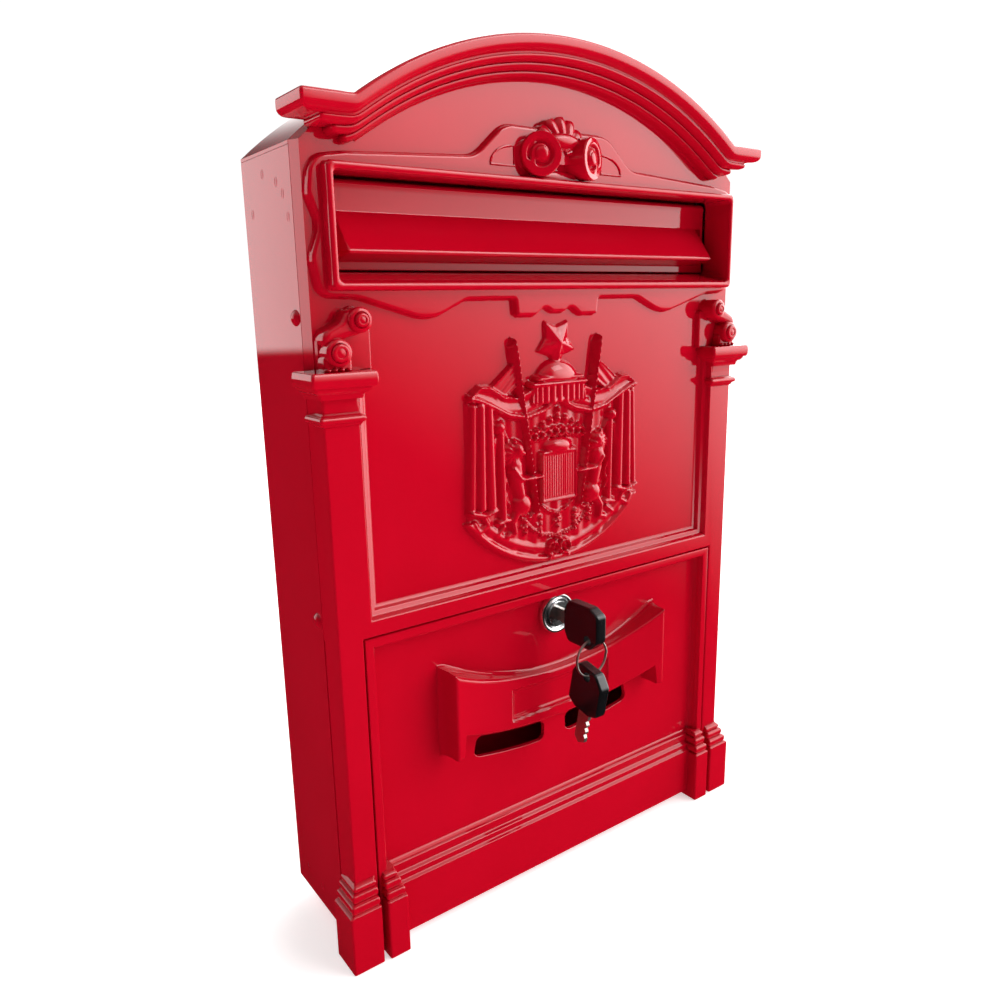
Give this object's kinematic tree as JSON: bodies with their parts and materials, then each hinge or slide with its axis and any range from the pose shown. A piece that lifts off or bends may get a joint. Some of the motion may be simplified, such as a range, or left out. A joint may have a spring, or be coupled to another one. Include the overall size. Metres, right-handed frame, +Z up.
{
  "type": "wall post box",
  "caption": "Wall-mounted post box with an arched cast front, a lift-up letter flap, a fold-down locking door and a folded sheet-metal body.",
  "frame": {"origin": "middle of the four wall-screw holes, on the outer face of the back panel", "axes": "+X to the right and -Y towards the street as seen from the front, +Y into the wall, +Z up"},
  "size_m": [0.2612, 0.0977, 0.41],
  "materials": {
    "red_coat_cast": "glossy red powder coat on cast aluminium, slight orange peel",
    "red_coat_sheet": "glossy red powder coat on folded steel sheet",
    "zinc_steel": "bright zinc-plated steel",
    "chrome_plate": "bright chrome plate",
    "key_steel": "nickel-plated steel, slightly worn",
    "black_plastic": "semi-gloss moulded plastic"
  },
  "bodies": {
    "case": {"fascia": "red_coat_cast", "body_shell": "red_coat_sheet", "roof_panel": "red_coat_sheet", "floor_panel": "red_coat_sheet", "side_rivets": "red_coat_sheet", "flap_rod": "zinc_steel", "flap_bracket_left": "zinc_steel", "flap_bracket_right": "zinc_steel", "bracket_screws": "zinc_steel", "rod_clips": "zinc_steel", "hinge_pin_left": "zinc_steel", "hinge_pin_right": "zinc_steel"},
    "flap": {"letter_flap": "red_coat_cast"},
    "door": {"door": "red_coat_cast", "lock_housing": "chrome_plate", "lock_nut": "zinc_steel"},
    "lock_core": {"lock_plug": "chrome_plate", "lock_cam": "zinc_steel", "cam_washer": "zinc_steel", "cam_screw": "zinc_steel"},
    "key": {"key_blade": "key_steel", "key_bow": "black_plastic"},
    "ring": {"key_ring": "key_steel"},
    "spare_key": {"spare_key_blade": "key_steel", "spare_key_bow": "black_plastic"}
  },
  "joints": [
    {"name": "flap_hinge", "type": "hinge", "parent": "case", "child": "flap", "pos_m": [0, -0.0479, 0.1468], "axis": [-1, 0, 0], "range_deg": [0, 60]},
    {"name": "door_hinge", "type": "hinge", "parent": "case", "child": "door", "pos_m": [0, -0.0565, -0.1907], "axis": [1, 0, 0], "range_deg": [0, 90]},
    {"name": "lock_turn", "type": "hinge", "parent": "door", "child": "lock_core", "pos_m": [0, -0.0595, -0.057], "axis": [0, -1, 0], "range_deg": [0, 90]},
    {"name": "key_pull", "type": "slide", "parent": "lock_core", "child": "key", "axis": [0, -1, 0], "range_m": [0, 0.012]},
    {"name": "ring_swing", "type": "hinge", "parent": "key", "child": "ring", "pos_m": [0, -0.0873, -0.0635], "axis": [1, 0, 0], "range_deg": [-30, 8]},
    {"name": "spare_swing", "type": "hinge", "parent": "ring", "child": "spare_key", "pos_m": [0, -0.0873, -0.0819], "axis": [1, 0, 0], "range_deg": [-40, 6]}
  ]
}
